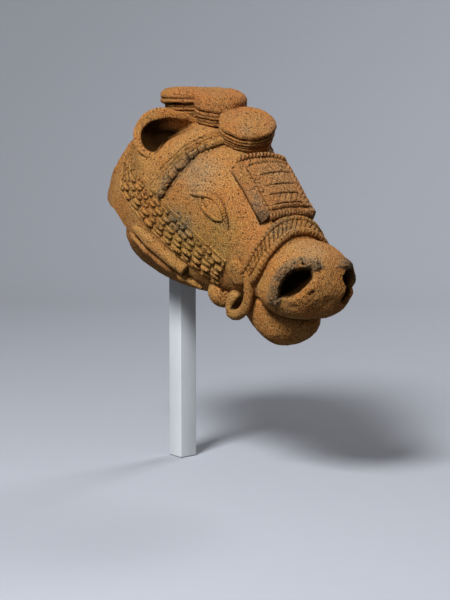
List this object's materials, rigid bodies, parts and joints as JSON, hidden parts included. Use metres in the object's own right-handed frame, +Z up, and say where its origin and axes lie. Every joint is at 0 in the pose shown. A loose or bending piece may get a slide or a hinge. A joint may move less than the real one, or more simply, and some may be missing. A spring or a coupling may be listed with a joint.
{
  "type": "horse head sculpture",
  "caption": "Hollow fired-clay horse head with applied coil and pellet harness, cupped ears and stacked crest discs, lifted onto a pin in a square display post.",
  "frame": {"origin": "middle of the flat foot of the display post", "axes": "+Z up along the post and the pin, +X the way the muzzle heads, +Y the horse's left"},
  "size_m": [0.2611, 0.1154, 0.3038],
  "materials": {
    "terracotta": "unglazed fired clay, grainy and pitted, with grey smoke marks",
    "terracotta_crest": "unglazed fired clay, smoothed discs and rough coils",
    "terracotta_harness": "unglazed fired clay, pressed and notched while soft, smoke grey in places",
    "acrylic_post": "translucent pale acrylic with polished faces",
    "brass_pin": "drawn rod, dull",
    "wood_plug": "bare turned softwood"
  },
  "bodies": {
    "mount": {"mount_post": "acrylic_post", "mount_pin": "brass_pin"},
    "head": {"head_shell": "terracotta", "neck_plug": "wood_plug", "forehead_disc": "terracotta_crest", "crown_disc": "terracotta_crest", "poll_disc": "terracotta_crest", "forehead_coil_1": "terracotta_crest", "forehead_coil_2": "terracotta_crest", "forehead_coil_3": "terracotta_crest", "crown_coil_1": "terracotta_crest", "crown_coil_2": "terracotta_crest", "poll_coil_1": "terracotta_crest", "poll_coil_2": "terracotta_crest", "ear_right": "terracotta", "ear_left": "terracotta", "browband_right_coil_1": "terracotta_harness", "browband_right_coil_2": "terracotta_harness", "browband_right_coil_3": "terracotta_harness", "browband_left_coil_1": "terracotta_harness", "browband_left_coil_2": "terracotta_harness", "browband_left_coil_3": "terracotta_harness", "face_plate": "terracotta_harness", "plate_top_cord": "terracotta_harness", "plate_bottom_cord": "terracotta_harness", "noseband_upper_cord": "terracotta_harness", "noseband_lower_cord": "terracotta_harness", "noseband_braid": "terracotta_harness", "muzzle": "terracotta", "lower_jaw": "terracotta", "bit_tongue_right": "terracotta_harness", "bit_ring_right": "terracotta_harness", "bit_knob_right": "terracotta_harness", "cheek_strap_right_row_1": "terracotta_harness", "cheek_strap_right_row_2": "terracotta_harness", "cheek_strap_right_row_3": "terracotta_harness", "cheek_strap_right_row_4": "terracotta_harness", "cheek_strap_right_row_5": "terracotta_harness", "throat_roll_right_upper": "terracotta_harness", "throat_roll_right_lower": "terracotta_harness", "eyeball_right": "terracotta", "upper_eyelid_right": "terracotta", "lower_eyelid_right": "terracotta", "bit_tongue_left": "terracotta_harness", "bit_ring_left": "terracotta_harness", "bit_knob_left": "terracotta_harness", "cheek_strap_left_row_1": "terracotta_harness", "cheek_strap_left_row_2": "terracotta_harness", "cheek_strap_left_row_3": "terracotta_harness", "cheek_strap_left_row_4": "terracotta_harness", "cheek_strap_left_row_5": "terracotta_harness", "throat_roll_left_upper": "terracotta_harness", "throat_roll_left_lower": "terracotta_harness", "eyeball_left": "terracotta", "upper_eyelid_left": "terracotta", "lower_eyelid_left": "terracotta"}
  },
  "joints": [
    {"name": "head_lift", "type": "slide", "parent": "mount", "child": "head", "axis": [0, 0, 1], "range_m": [0, 0.09]}
  ]
}
